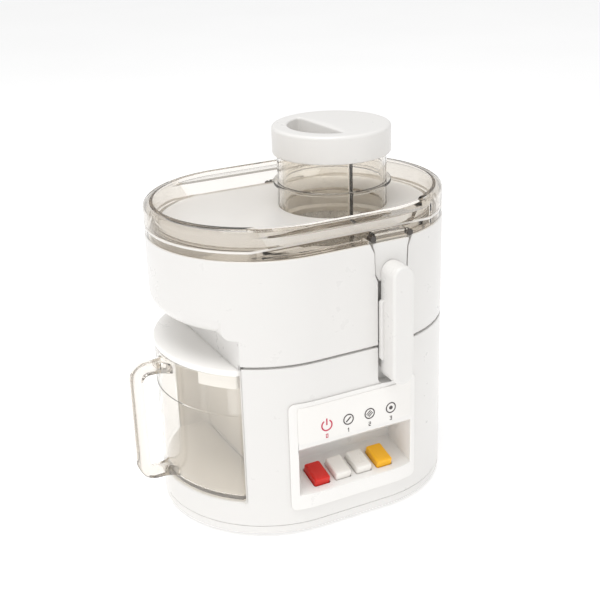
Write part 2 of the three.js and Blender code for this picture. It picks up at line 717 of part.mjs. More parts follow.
// The lever's front view: a bar with round ends, a little wider in its lower part.
function leverOutline(inset = 0) {
  const r = CLAMP.half - inset;
  const [low, high] = [CLAMP.foot - CLAMP.pinZ + CLAMP.half, CLAMP.top - CLAMP.pinZ - CLAMP.half];
  const s = new THREE.Shape();
  s.absarc(0, low, r, PI, 2 * PI, false);
  s.absarc(0, high, r, 0, PI, false);
  return s;
}

// A clamp in its own frame: the pin lies along x at the origin, and -y points away from the body.
function clampShape() {
  const at = (y) => CLAMP.pinY - y;
  const [face, back] = [at(CLAMP.face), at(CLAMP.back)];
  const lever = prismY(leverOutline(), face, back, 6);
  const hollow = prismY(leverOutline(CLAMP.wall), face + CLAMP.wall, back + 1, 6);
  const skirt = box([-11, 11], [back - 4, back], [8, 56]).subtract(box([-8, 8], [back - 5, back + 1], [7, 57]));
  const floorGap = box([-7.2, 7.2], [-4, back + 1], [-20, 2]);
  const z = (height) => height - CLAMP.pinZ;
  const [half, out, inner] = [PLATE.half, at(PLATE.out), at(PLATE.in)];
  const plate = join(
    box([-half, half], [out, inner], [z(PLATE.bottom), z(PLATE.hookTop)]),
    box([-half, half], [out, at(PLATE.hookIn)], [z(PLATE.top), z(PLATE.hookTop)]),
    box([-6, 6], [back - 1, inner], [z(PLATE.bottom), z(PLATE.bottom) + 8]),
  );
  const rod = new THREE.CylinderGeometry(PIN.radius + 0.4, PIN.radius + 0.4, 2 * PIN.half + 0.8, 12);
  return join(cut(join(lever, skirt), hollow, floorGap, solid(rod.rotateZ(PI / 2))), plate);
}

function buildClamps() {
  for (const [side, turn] of [["front", 0], ["back", PI]]) {
    const clamp = add(`clamp_${side}`, clampShape(), MATERIAL.white);
    const s = turn ? 1 : -1;
    clamp.position.set(CLAMP.x, s * CLAMP.pinY, CLAMP.pinZ);
    clamp.rotation.z = turn;
    const pin = turn ? clampPin().mirror([0, 1, 0]) : clampPin();
    add(`clamp_pin_${side}`, pin, MATERIAL.steel);
  }
}

// ---------------------------------------------------------------- jug

// The jug's plan: the body's round end in front, a box between the bay's cheeks behind.
function jugPlan(inset, z0, z1) {
  const round = prism(oval(inset), z0, z1).intersect(bayOutline(-0.6 - inset));
  const half = JUG.halfWidth - inset;
  const rear = prism(rectangle([BAY.edgeX - 30, JUG.rearX - inset], [-half, half], 8), z0, z1, 4);
  const behind = box([BAY.edgeX - 5, JUG.rearX], [-100, 100], [z0 - 1, z1 + 1]);
  return round.add(rear.intersect(behind).intersect(prism(oval(inset), z0, z1)));
}

function handle() {
  const { outX, inX, y, width, low, high } = HANDLE;
  const bar = inX - outX;
  const outline = rectangle([outX, -HALF_LENGTH + 6], [low[0], high[1]], 9);
  const hole = rectangle([outX + bar, -HALF_LENGTH + 16], [low[1], high[0]], 5);
  const loop = prismY(outline, y - width / 2, y + width / 2, 5).subtract(prismY(hole, -30, 30, 5));
  return loop.subtract(jugPlan(JUG.wall, JUG.bottom, JUG.top + 10));
}

function buildJug() {
  const shell = jugPlan(0, JUG.bottom, JUG.top).subtract(jugPlan(JUG.wall, JUG.bottom + JUG.floor, JUG.top + 1));
  add("juice_jug", shell.add(handle()), MATERIAL.smoked);

  const plateZ = JUG.top + GAP;
  const inset = JUG.wall + 0.5;
  const skirt = cut(
    jugPlan(inset, JUG_LID.skirt, plateZ + 1),
    jugPlan(inset + 2, JUG_LID.skirt - 1, plateZ + 2),
    box([-HALF_LENGTH - 5, -104], [-44, 44], [JUG_LID.skirt - 1, plateZ - 0.01]),
  );
  const inlet = prism(rectangle([SPOUT.left - 4, -64.5], [-17, 17], 4), JUG_LID.skirt, JUG_LID.top + 1, 4);
  add("jug_lid", join(jugPlan(0, plateZ, JUG_LID.top), skirt).subtract(inlet), MATERIAL.white);
}

// ---------------------------------------------------------------- assembly

buildBase();
buildHousing();
buildControls();
buildMotor();
buildBowl();
buildBasket();
buildLid();
buildPusher();
buildClamps();
buildJug();

juicer.position.x = -(HANDLE.outX + HALF_LENGTH) / 2;

export default juicer;
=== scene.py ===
"""Centrifugal juicer: the visual model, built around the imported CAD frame.

Shapes are written in millimetres about the middle of the body's oval outline (x to the right seen from the
control panel, y to the back, z up) and are moved into the row frame, in metres, when a piece is finished.
"""

import math

import bmesh
import bpy
from mathutils import Matrix, Quaternion, Vector


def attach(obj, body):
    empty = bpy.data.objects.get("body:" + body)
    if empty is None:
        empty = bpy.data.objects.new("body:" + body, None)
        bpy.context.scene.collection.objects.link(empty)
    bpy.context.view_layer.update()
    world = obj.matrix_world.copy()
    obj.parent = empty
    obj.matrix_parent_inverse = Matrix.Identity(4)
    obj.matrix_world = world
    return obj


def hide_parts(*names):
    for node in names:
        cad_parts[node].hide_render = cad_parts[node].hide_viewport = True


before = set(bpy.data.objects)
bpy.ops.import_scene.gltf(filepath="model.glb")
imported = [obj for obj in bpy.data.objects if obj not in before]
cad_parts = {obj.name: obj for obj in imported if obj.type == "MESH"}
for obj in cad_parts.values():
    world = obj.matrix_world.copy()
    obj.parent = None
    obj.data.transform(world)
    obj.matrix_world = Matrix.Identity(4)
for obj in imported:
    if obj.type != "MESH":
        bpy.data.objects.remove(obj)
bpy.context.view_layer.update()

# ------------------------------------------------------------------ dimensions, in millimetres

SHIFT_X = 14.5  # from the middle of the oval to the middle of the whole object
END_RADIUS, STRAIGHT = 93.0, 32.0  # the oval: two half circles with a straight between them
WALL = 2.8
AXIS_X = 35.0  # the motor, the basket and the feed tube
BAY_FLOOR, BAY_EDGE, BAY_WALL, BAY_HALF = 32.0, -88.3, -59.0, 72.5
HOUSING_BOTTOM, HOUSING_TOP = 11.0, 150.0
SKIRT, STEP, OVER_JUG, BELLY, BOWL_FLOOR, BOWL_TOP = 152.0, 173.4, 174.6, 16.0, 185.0, 237.0
LIP_FOOT = 148.4  # the bowl's lip at the bay ends just above the jug's lid, whose top is at 148
FOOT = -98.5  # where the bowl's underside steps down beside the bay
LID_BOTTOM, LID_FLOOR, LID_TOP, LID_EDGE, LID_PLATE = 237.4, 244.0, 261.5, 0.3, 2.5
LEDGE_Y, FLANGE_TOP, LIP_BOTTOM = 80.7, 240.5, 255.0
CLAMP_X, PIN_Y, PIN_Z, CLAMP_FOOT, CLAMP_TOP = 35.5, 97.0, 131.5, 121.5, 221.0
CHANNEL_NARROW, CHANNEL_Y = 13.0, -85.5
SHELF = math.radians(15.2)  # slope of the shelf the keys stand on
KEY_X, KEY_Y, KEY_Z, KEY_PITCH = -27.2, -88.0, 38.4, 19.5
KEY_WIDTH, KEY_LENGTH, KEY_HEIGHT = 14.0, 21.0, 6.4
TROUGH = (-50.0, 54.0)
PROUD = 1.6  # the panel's skin above the housing's
FILM = 0.7  # the label above the panel
PANEL, LABEL_PLATE = (-57, 59, 24, 118.6), (-50.5, 53.5, 83.5, 115)  # left, right, bottom, top
INK_FRONT, INK_BACK = -112, -60  # depth of the tools that print the icons
ICON_X, ICON_Z, ICON_R, DIGIT_DROP, DIGIT_SIZE = (-26.0, -6.4, 13.1, 33.0), 95.4, 4.3, 9.3, 0.75
CORD_INLET, VENT_PITCH = (-36, 20), 9
SCREWS = ((-98, -38), (-98, 38), (107.5, -40), (107.5, 40))
FOOT_X, FOOT_Y = 78, 52
TUBE_RADIUS, TUBE_BORE, TUBE_TOP, LID_HOLE = 45, 42.5, 303, 45.05
CAP_RADIUS, CAP_SKIRT, CAP_TOP = 48.6, 287.8, 310.5
CHORD, PUSHER_TURN = -9.4, math.radians(4)  # the flat of the D-shaped pusher and its turn
PUSHER_RADIUS, PUSHER_FOOT, PUSHER_WALL = 41.5, 203, 2
JUG_CHEEK, JUG_BACK, JUG_BASE, JUG_RIM, JUG_LID_TOP = 71.8, -61, 33, 143.3, 148
HANDLE_LOW, HANDLE_HIGH, HANDLE_OUT, HANDLE_Y = 42.2, 135.6, -148.9, -5
LENS, SENSOR, CAMERA_PLACE = 67.28, 36, (-0.3801, -0.7847, 0.5159)  # the place in metres
SKY, SKY_SEEN = 0.64, 1.0  # the sky as a lamp, and as the camera's plain background
BOUNCES = 24  # enough for the stacked clear walls
PI = math.pi
TO_ROW = Matrix.Scale(0.001, 4) @ Matrix.Translation((SHIFT_X, 0, 0))

# ------------------------------------------------------------------ outlines


def rounded(points, closed=True, steps=6):
    """A line through (a, b) or (a, b, radius) corners, each turned on an arc of its radius."""
    out, count = [], len(points)
    for i, p in enumerate(points):
        here, r = Vector(p[:2]), (p[2] if len(p) > 2 else 0)
        if not r or (not closed and i in (0, count - 1)):
            out.append((here.x, here.y))
            continue
        u = (Vector(points[i - 1][:2]) - here).normalized()
        v = (Vector(points[(i + 1) % count][:2]) - here).normalized()
        half = u.angle(v) / 2
        centre = here + (u + v).normalized() * (r / math.sin(half))
        start, end = here + u * (r / math.tan(half)) - centre, here + v * (r / math.tan(half)) - centre
        a0 = math.atan2(start.y, start.x)
        turn = (math.atan2(end.y, end.x) - a0 + PI) % (2 * PI) - PI
        out += [
            (centre.x + r * math.cos(a0 + turn * k / steps), centre.y + r * math.sin(a0 + turn * k / steps))
            for k in range(steps + 1)
        ]
    return out


def rect(x0, x1, y0, y1, r=0.0, steps=6):
    return rounded([(x0, y0, r), (x1, y0, r), (x1, y1, r), (x0, y1, r)], steps=steps)


def arc(x, y, r, a0, a1, steps):
    return [
        (x + r * math.cos(a0 + (a1 - a0) * k / steps), y + r * math.sin(a0 + (a1 - a0) * k / steps))
        for k in range(steps + 1)
    ]


def circle(r, x=0.0, y=0.0, steps=96):
    return arc(x, y, r, 0, 2 * PI * (steps - 1) / steps, steps - 1)


def oval(inset=0.0, steps=56):
    r = END_RADIUS - inset
    return arc(STRAIGHT, 0, r, -PI / 2, PI / 2, steps) + arc(-STRAIGHT, 0, r, PI / 2, 1.5 * PI, steps)


# ------------------------------------------------------------------ closed solids


def solid(verts, faces):
    bm = bmesh.new()
    made = [bm.verts.new(v) for v in verts]
    for f in faces:
        bm.faces.new([made[i] for i in f])
    bmesh.ops.recalc_face_normals(bm, faces=bm.faces)
    mesh = bpy.data.meshes.new("solid")
    bm.to_mesh(mesh)
    bm.free()
    return mesh


def loft(rings, closed=False):
    n, m = len(rings[0]), len(rings)
    faces = []
    for j in range(m if closed else m - 1):
        a, b = j * n, (j + 1) % m * n
        faces += [(a + i, a + (i + 1) % n, b + (i + 1) % n, b + i) for i in range(n)]
    if not closed:
        faces += [tuple(range(n)), tuple(range((m - 1) * n, m * n))]
    return solid([p for ring in rings for p in ring], faces)


AXES = {
    "x": lambda a, b, c: (c, a, b),  # outline in y and z
    "y": lambda a, b, c: (a, c, b),  # outline in x and z
    "z": lambda a, b, c: (a, b, c),  # outline in x and y
}


def prism(outline, low, high, axis="z"):
    place = AXES[axis]
    return loft([[place(a, b, c) for a, b in outline] for c in (low, high)])


def swept(shape, profile, closed=False, axis="z"):
    """Outlines shape(inset) at the heights of a profile of (inset, height) points."""
    place = AXES[axis]
    return loft([[place(a, b, h) for a, b in shape(i)] for i, h in profile], closed)


def lathe(profile, x=AXIS_X, y=0.0, closed=False, axis="z", steps=96):
    return swept(lambda r: circle(r, x, y, steps), profile, closed, axis)


def box(x0, x1, y0, y1, z0, z1, r=0.0):
    return prism(rect(x0, x1, y0, y1, r), z0, z1)


def tube(outer, inner, z0, z1, x=AXIS_X, y=0.0, edge=0.3, axis="z", steps=96):
    """A ring with softened edges, or a disc where there is no inner radius."""
    if not inner:
        profile = rounded([(0.5, z0), (outer, z0, edge), (outer, z1, edge), (0.5, z1)], closed=False, steps=3)
        return lathe(profile, x, y, axis=axis, steps=steps)
    corners = [(inner, z0, edge), (outer, z0, edge), (outer, z1, edge), (inner, z1, edge)]
    return lathe(rounded(corners, steps=3), x, y, closed=True, axis=axis, steps=steps)


def evaluated(mesh, modifiers):
    """The mesh after modifiers given as (type, settings); a mesh among the settings is used as an object."""
    helpers = []

    def holder(data):
        helpers.append(bpy.data.objects.new("helper", data))
        bpy.context.scene.collection.objects.link(helpers[-1])
        return helpers[-1]

    base = holder(mesh)
    for kind, settings in modifiers:
        modifier = base.modifiers.new(kind, kind)
        for key, value in settings.items():
            setattr(modifier, key, holder(value) if isinstance(value, bpy.types.Mesh) else value)
    graph = bpy.context.evaluated_depsgraph_get()
    result = bpy.data.meshes.new_from_object(base.evaluated_get(graph), depsgraph=graph)
    for h in helpers:
        bpy.data.objects.remove(h)
    return result


def combine(operation, base, tools):
    return evaluated(
        base, [("BOOLEAN", {"operation": operation, "solver": "MANIFOLD", "object": t}) for t in tools]
    )


def join(base, *tools):
    return combine("UNION", base, tools)


def cut(base, *tools):
    return combine("DIFFERENCE", base, tools)


def common(base, *tools):
    return combine("INTERSECT", base, tools)


def mirrored(mesh):
    """The mesh's twin on the other long side."""
    twin = mesh.copy()
    twin.transform(Matrix.Scale(-1, 4, (0, 1, 0)))
    twin.flip_normals()
    return twin


def both(mesh):
    return mesh, mirrored(mesh)


def bevelled(mesh, width, segments=3, angle=38, share=None):
    """The mesh with its corners rounded; share(middle of an edge) scales the width there."""
    if share:
        bm = bmesh.new()
        bm.from_mesh(mesh)
        bmesh.ops.dissolve_limit(bm, angle_limit=math.radians(0.3), verts=bm.verts, edges=bm.edges)
        layer = bm.edges.layers.float.new("bevel_weight_edge")
        for e in bm.edges:
            if len(e.link_faces) == 2 and e.calc_face_angle(0) > math.radians(angle):
                e[layer] = share((e.verts[0].co + e.verts[1].co) / 2)
        bm.to_mesh(mesh)
        bm.free()
    settings = {
        "width": width,
        "segments": segments,
        "limit_method": "WEIGHT" if share else "ANGLE",
        "angle_limit": math.radians(angle),
        "use_clamp_overlap": False,
        "miter_outer": "MITER_ARC",
    }
    return evaluated(mesh, [("BEVEL", settings)])


def piece(name, mesh, material, body, replaces=(), sharp=34, matrix=None):
    """A finished piece of the object: in the row frame, shaded, riding on its body."""
    if matrix:
        mesh.transform(matrix)
    mesh.transform(TO_ROW)
    mesh.materials.clear()
    mesh.materials.append(material)
    mesh.polygons.foreach_set("use_smooth", [True] * len(mesh.polygons))
    mesh.set_sharp_from_angle(angle=math.radians(sharp))
    ob = bpy.data.objects.new(name, mesh)
    bpy.context.scene.collection.objects.link(ob)
    ob.modifiers.new("weighted_normals", "WEIGHTED_NORMAL").keep_sharp = True
    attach(ob, body)
    if replaces:
        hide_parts(*replaces)


# ------------------------------------------------------------------ materials


class Nodes:
    """A material's node tree, with short calls for what the finishes share."""

    def __init__(self, name):
        self.material = bpy.data.materials.new(name)
        self.material.use_nodes = True
        self.tree = self.material.node_tree
        self.shader = self.tree.nodes["Principled BSDF"]
        self.output = self.tree.nodes["Material Output"]
        self.where = self.tree.nodes.new("ShaderNodeTexCoord").outputs["Object"]

    def link(self, a, b):
        self.tree.links.new(a, b)

    def add(self, kind, **settings):
        node = self.tree.nodes.new(kind)
        for key, value in settings.items():
            if key in node.inputs:
                node.inputs[key].default_value = value
            else:
                setattr(node, key, value)
        return node

    def stretched(self, scale):
        node = self.add("ShaderNodeMapping")
        node.inputs["Scale"].default_value = scale
        self.link(self.where, node.inputs["Vector"])
        return node.outputs["Vector"]

    def noise(self, scale, detail=3.0, rough=0.5, where=None):
        node = self.add("ShaderNodeTexNoise", Scale=scale, Detail=detail, Roughness=rough)
        self.link(where or self.where, node.inputs["Vector"])
        return node.outputs["Fac"]

    def span(self, value, low, high, start=0.3, end=0.7):
        node = self.add("ShaderNodeMapRange")
        for key, number in (("From Min", start), ("From Max", end), ("To Min", low), ("To Max", high)):
            node.inputs[key].default_value = number
        self.link(value, node.inputs["Value"])
        return node.outputs["Result"]

    def ramp(self, value, stops):
        node = self.add("ShaderNodeValToRGB")
        while len(node.color_ramp.elements) < len(stops):
            node.color_ramp.elements.new(0.5)
        for element, (position, color) in zip(node.color_ramp.elements, stops):
            element.position, element.color = position, (*color, 1)
        self.link(value, node.inputs["Fac"])
        return node.outputs["Color"]

    def bump(self, height, strength, distance):
        node = self.add("ShaderNodeBump", Strength=strength, Distance=distance)
        self.link(height, node.inputs["Height"])
        self.link(node.outputs["Normal"], self.shader.inputs["Normal"])

    def set(self, **sockets):
        for key, value in sockets.items():
            self.shader.inputs[key.replace("_", " ")].default_value = value


def shade(color, factor):
    return tuple(min(1.0, c * factor) for c in color)


def plastic(name, color, rough=(0.26, 0.36), spread=0.03, grain=0.05, coat=0.0):
    """Moulded plastic: faint flow marks in the colour, uneven gloss and a fine skin."""
    n = Nodes(name)
    flow = n.noise(14, 4, 0.55, n.stretched((1, 1, 2.2)))
    tone = n.ramp(flow, [(0.3, shade(color, 1 - spread)), (0.7, shade(color, 1 + spread * 0.4))])
    n.link(tone, n.shader.inputs["Base Color"])
    n.link(n.span(n.noise(60, 5, 0.6), *rough), n.shader.inputs["Roughness"])
    n.bump(n.noise(700, 2, 0.5), grain, 0.0001)
    n.set(Coat_Weight=coat, Coat_Roughness=0.08)
    return n.material


def smoked_plastic(name, tint, density, rough, clear, frost=None):
    """Clear smoked plastic: a slight even tint, and what its walls absorb over the way through them.

    frost is (lowest, highest, clearness, roughness) of a hazy level between two heights, in metres.
    """
    n = Nodes(name)
    n.link(n.ramp(n.noise(18, 4), [(0.3, shade(tint, 0.97)), (0.7, tint)]), n.shader.inputs["Base Color"])
    gloss = n.span(n.noise(45, 4, 0.6), *rough)
    n.set(Transmission_Weight=clear, IOR=1.33)
    if frost:
        low, high, hazy, level = frost
        height = n.add("ShaderNodeSeparateXYZ")
        n.link(n.where, height.inputs["Vector"])
        within = n.add("ShaderNodeMath", operation="COMPARE")
        within.inputs[1].default_value, within.inputs[2].default_value = (low + high) / 2, (high - low) / 2
        n.link(height.outputs["Z"], within.inputs[0])
        gloss_mix = n.add("ShaderNodeMix")
        n.link(within.outputs[0], gloss_mix.inputs["Factor"])
        n.link(gloss, gloss_mix.inputs["A"])
        gloss_mix.inputs["B"].default_value = level
        gloss = gloss_mix.outputs["Result"]
        n.link(n.span(within.outputs[0], clear, hazy, 0, 1), n.shader.inputs["Transmission Weight"])
    n.link(gloss, n.shader.inputs["Roughness"])
    n.bump(n.noise(55, 3, 0.5), 0.03, 0.0005)
    volume = n.add("ShaderNodeVolumeAbsorption", Density=density)
    volume.inputs["Color"].default_value = (*ABSORBED, 1)
    n.link(volume.outputs["Volume"], n.output.inputs["Volume"])
    # lamp light passes the surface unbent, so that it reaches what the plastic encloses
    path = n.add("ShaderNodeLightPath")
    lamp = n.add("ShaderNodeMath", operation="MAXIMUM")
    n.link(path.outputs["Is Shadow Ray"], lamp.inputs[0])
    n.link(path.outputs["Is Diffuse Ray"], lamp.inputs[1])
    passed = n.add("ShaderNodeBsdfTransparent", Color=(*tint, 1))
    surface = n.add("ShaderNodeMixShader")
    n.link(lamp.outputs[0], surface.inputs[0])
    n.link(n.shader.outputs[0], surface.inputs[1])
    n.link(passed.outputs[0], surface.inputs[2])
    n.link(surface.outputs[0], n.output.inputs["Surface"])
    return n.material


def metal(name, color, rough, stretch, scale=260):
    """Bare metal with drawn or turned marks along one direction."""
    n = Nodes(name)
    marks = n.noise(scale, 4, 0.65, n.stretched(stretch))
    tone = n.ramp(marks, [(0.3, shade(color, 0.88)), (0.7, shade(color, 1.12))])
    n.link(tone, n.shader.inputs["Base Color"])
    n.link(n.span(marks, *rough), n.shader.inputs["Roughness"])
    n.bump(marks, 0.12, 0.0002)
    n.set(Metallic=1.0)
    return n.material


def layered(name, color, dark, period, rough, grain):
    """Stacked sheets or wound wire: fine bands with dark seams between them."""
    n = Nodes(name)
    bands = n.add("ShaderNodeTexWave", bands_direction="Z", Scale=1 / (20 * period), Distortion=0.25)
    n.link(n.where, bands.inputs["Vector"])
    tone = n.ramp(bands.outputs["Fac"], [(0.1, dark), (0.55, color)])
    n.link(tone, n.shader.inputs["Base Color"])
    n.link(n.span(n.noise(300, 3), *rough), n.shader.inputs["Roughness"])
    n.bump(bands.outputs["Fac"], grain, 0.0004)
    n.set(Metallic=1.0)
    return n.material


WHITE = plastic("white_abs", (0.766, 0.752, 0.731), (0.27, 0.31), 0.006, 0.008, 0.08)
PANEL_WHITE = plastic("panel_white_abs", (0.845, 0.83, 0.806), (0.27, 0.31), 0.006, 0.008, 0.08)
# the housing's white plastic painted lighter: painted light that offsets the shade the bowl casts on the jug's
# lid
SHADE_LIFTED_WHITE = plastic("white_abs_painted_light", (0.93, 0.915, 0.89), (0.27, 0.31), 0.006, 0.008, 0.08)
LABEL = plastic("label_film", (0.86, 0.84, 0.81), (0.4, 0.5), 0.012, 0.12)
RED = plastic("red_key", (0.67, 0.012, 0.004), (0.3, 0.38), 0.06, 0.03, 0.05)
YELLOW = plastic("orange_yellow_key", (1.0, 0.5, 0.008), (0.3, 0.38), 0.05, 0.03, 0.05)
IVORY = plastic("ivory_key", (0.9, 0.87, 0.82), (0.26, 0.34), 0.02, 0.03, 0.08)
BLACK = plastic("black_nylon", (0.025, 0.025, 0.027), (0.45, 0.6), 0.15, 0.15)
RUBBER = plastic("foot_rubber", (0.042, 0.042, 0.044), (0.7, 0.9), 0.2, 0.4)
SEAL = plastic("silicone_seal", (0.7, 0.68, 0.64), (0.5, 0.65), 0.04, 0.15)
RED_INK = plastic("red_ink", (0.55, 0.02, 0.07), (0.35, 0.45), 0.05, 0.02)
DARK_INK = plastic("dark_ink", (0.06, 0.05, 0.05), (0.35, 0.45), 0.08, 0.02)
CARBON = plastic("carbon_brush", (0.03, 0.03, 0.032), (0.35, 0.55), 0.2, 0.3)
PALE, ABSORBED = (0.995, 0.985, 0.965), (0.6, 0.52, 0.42)
SMOKED_LID = smoked_plastic(
    "smoked_lid", (0.965, 0.95, 0.925), 40, (0.015, 0.05), 0.99, (0.2432, 0.2448, 0.35, 0.3)
)
SMOKED_TUBE = smoked_plastic("smoked_tube", PALE, 22, (0.015, 0.05), 0.99)
SMOKED_JUG = smoked_plastic("smoked_jug", (0.985, 0.975, 0.955), 18, (0.01, 0.03), 0.91)
SMOKED_HANDLE = smoked_plastic("smoked_handle", PALE, 30, (0.01, 0.03), 0.99)
SMOKED_PUSHER = smoked_plastic("smoked_pusher", PALE, 12, (0.015, 0.05), 0.99)
# near-black discs at the ends of the clamps' catches: painted shade of the pivot holes there
PIVOT_HOLE_SHADE = plastic("pivot_hole_painted_shade", (0.045, 0.036, 0.03), (0.12, 0.22), 0.15, 0.05, 0.3)
STEEL = metal("turned_steel", (0.62, 0.62, 0.63), (0.2, 0.34), (1, 1, 9))
SHEET_STEEL = metal("drawn_sheet_steel", (0.64, 0.64, 0.65), (0.2, 0.36), (6, 1, 1), 180)
BRASS = metal("rolled_brass", (0.72, 0.52, 0.22), (0.25, 0.4), (1, 1, 6), 220)
COPPER = layered("wound_copper", (0.72, 0.33, 0.13), (0.2, 0.07, 0.02), 0.0009, (0.25, 0.4), 0.6)
LAMINATION = layered("lamination_stack", (0.36, 0.37, 0.39), (0.1, 0.1, 0.11), 0.0007, (0.35, 0.55), 0.5)

# ------------------------------------------------------------------ motor housing


def bay_front(grow=0.0):
    edge = BAY_EDGE + grow
    outline = [(-140, BAY_FLOOR - grow), (edge, BAY_FLOOR - grow), (edge, 175), (-140, 175)]
    return prism(outline, -100, 100, "y")


def bay_inside(grow=0.0):
    half = BAY_HALF + grow
    return box(-160, BAY_WALL + grow, -half, half, BAY_FLOOR - grow, 175, 10)


def clamp_pocket(grow=0.0):
    half = CHANNEL_NARROW + grow
    outline = rect(CLAMP_X - half, CLAMP_X + half, CLAMP_FOOT - 3.5 - grow, HOUSING_TOP + 14, 5 + grow)
    return prism(outline, -100, -84 + grow, "y")


def clamp_ears():
    def ear(x0, x1):
        disc = tube(4.6, 0, x0, x1, -PIN_Y, PIN_Z, 0.4, "x", 32)
        return join(disc, box(x0, x1, -PIN_Y, -83, PIN_Z - 2.6, PIN_Z + 4.6))

    return join(ear(CLAMP_X - 6.4, CLAMP_X - 3), ear(CLAMP_X + 3, CLAMP_X + 6.4))


def trough(grow=0.0):
    slope = math.tan(SHELF)
    front = -106.0
    shelf = KEY_Z + (front - KEY_Y) * slope
    ceiling = 86 + 2 * (86 - 54.5) / 47
    outline = [
        (front, ceiling + grow),
        (-57 + grow, 54.5 + grow, 2),
        (-57 + grow, 47.5 - grow, 1.2),
        (-61, 45.7 - grow),
        (front, shelf - grow),
    ]
    return prism(rounded(outline), TROUGH[0] - grow, TROUGH[1] + grow, "x")


def housing():
    wall = [(6, HOUSING_BOTTOM), (0, HOUSING_BOTTOM, 0.4), (0, HOUSING_TOP, 0.9), (6, HOUSING_TOP)]
    outer = swept(oval, rounded(wall, closed=False))
    cavity = cut(prism(oval(WALL), 4, HOUSING_TOP - WALL), bay_front(WALL), bay_inside(WALL))
    shell = cut(outer, bay_front(), bay_inside())
    shell = bevelled(shell, 2.0, 4, 40, lambda p: 0.4 if p.z > 146 or p.x > -62 else 1.0)
    shell = cut(shell, cavity)
    ring = [(3.8, 148), (3.8, 155.5), (4.2, 156), (5.8, 156), (5.8, 148)]
    over_bay = box(-130, BAY_EDGE + 4, -100, 100, 140, 170)
    spigot = cut(swept(oval, ring, True), over_bay, *both(clamp_pocket(2.9)))
    walls = common(clamp_pocket(2.5), prism(oval(0.6), HOUSING_BOTTOM, HOUSING_TOP - 0.4))
    shell = join(shell, spigot, *both(walls))
    shell = cut(shell, *both(clamp_pocket()))
    shell = join(shell, *both(clamp_ears()))
    vents = [AXIS_X - 40 + VENT_PITCH * i for i in range(9)]
    slots = [prism(rect(x - 1.8, x + 1.8, 22, 52, 1.75, 8), 80, 100, "y") for x in vents]
    holes = [tube(22, 0, 145, 160), prism(circle(6, *CORD_INLET, 40), 80, 100, "y"), trough(2.4)]
    return cut(shell, *holes, *slots)


piece("housing_shell", housing(), WHITE, "appliance", ["motor_housing"])


def base_plate():
    profile = [(30, 2.9), (0.1, 2.9, 2.4), (0.1, 10.7, 0.4), (3.2, 10.7, 0.3), (3.2, 5.2), (30, 5.2)]
    plate = swept(oval, rounded(profile, closed=False))
    vents = [AXIS_X + VENT_PITCH * i for i in range(-3, 4)]
    holes = [box(x - 2, x + 2, -26, 26, 0, 9, 1.9) for x in vents]
    holes += [tube(2.4, 0, 0, 12, x, y, steps=32) for x, y in SCREWS]
    return cut(plate, *holes)


piece("base_cover", base_plate(), WHITE, "appliance", ["base_plate"])
for side, x in (("left", -FOOT_X), ("right", FOOT_X)):
    for end, y in (("front", -FOOT_Y), ("back", FOOT_Y)):
        profile = [(1, 0.4), (5.5, 0.4, 0.2), (5.8, 0, 0.1), (8.2, 0, 0.5), (9, 2.7, 0.3), (1, 2.7)]
        foot = lathe(rounded(profile, closed=False, steps=4), x, y, steps=64)
        piece(f"rubber_foot_{end}_{side}", foot, RUBBER, "appliance", [f"foot_{end}_{side}"])

gland = [(3.4, 87), (5.6, 87), (5.6, 93.6), (9, 93.6, 0.4), (8.2, 97, 1.2), (4.2, 97, 0.8), (3.4, 96)]
gland = lathe(rounded(gland, steps=4), *CORD_INLET, True, "y", 64)
piece("cord_gland", gland, RUBBER, "appliance", ["cord_inlet_grommet"])

# ------------------------------------------------------------------ control panel, label and keys


def skin(outline, near, far):
    """A patch of skin that follows the housing's front, between two heights above it."""
    band = swept(oval, [(-near, 0), (-far, 0), (-far, 132), (-near, 132)], True)
    return common(band, prism(outline, -112, -30, "y"))


def key_place(i):
    return Matrix.Translation((KEY_X + i * KEY_PITCH, KEY_Y, KEY_Z)) @ Matrix.Rotation(SHELF, 4, "X")


def key_slot(i):
    half = KEY_WIDTH / 2 + 0.6
    slot = box(-half, half, -0.6, KEY_LENGTH + 0.6, -15, 15, 1.6)
    slot.transform(key_place(i))
    return slot


def control_panel():
    plate = skin(rect(*PANEL, 5, 8), 0.4, PROUD)
    tray = common(trough(2.0), prism(oval(-PROUD), 0, 130))
    whole = cut(join(plate, tray), trough())
    return cut(bevelled(whole, 0.55, 3, 40), *[key_slot(i) for i in range(4)])


piece("panel_bezel", control_panel(), PANEL_WHITE, "appliance", ["control_panel"])
plate = skin(rect(*LABEL_PLATE, 2.5, 6), PROUD + 0.05, PROUD + 0.75)
plate = bevelled(plate, 0.25, 2, 40)
piece("label_film", plate, LABEL, "appliance", ["label_plate"])


def stroke(x0, z0, x1, z1, width):
    """A flat bar between two points of the panel's front view."""
    along = Vector((x1 - x0, z1 - z0)).normalized() * (width / 2)
    side = Vector((-along.y, along.x))
    a, b = Vector((x0, z0)) - along, Vector((x1, z1)) + along
    return [tuple(a + side), tuple(a - side), tuple(b - side), tuple(b + side)]


def hoop(x, z, r, width, a0=0.0, a1=2 * PI):
    """A printed ring, or part of one."""
    open_ring = a1 - a0 < 2 * PI - 0.01
    outer = arc(x, z, r + width / 2, a0, a1, 40)
    inner = arc(x, z, r - width / 2, a1, a0, 40)
    if open_ring:
        return prism(outer + inner, INK_FRONT, INK_BACK, "y")
    hole = prism(inner[:-1], INK_FRONT - 1, INK_BACK + 1, "y")
    return cut(prism(outer[:-1], INK_FRONT, INK_BACK, "y"), hole)


DIGITS = {
    0: [(-1, -2, 1, -2), (1, -2, 1, 2), (1, 2, -1, 2), (-1, 2, -1, -2)],
    1: [(0, -2, 0, 2), (-0.8, 1.2, 0, 2)],
    2: [(-1, 2, 1, 2), (1, 2, 1, 0), (1, 0, -1, 0), (-1, 0, -1, -2), (-1, -2, 1, -2)],
    3: [(-1, 2, 1, 2), (1, 2, 1, -2), (1, -2, -1, -2), (-0.4, 0, 1, 0)],
}


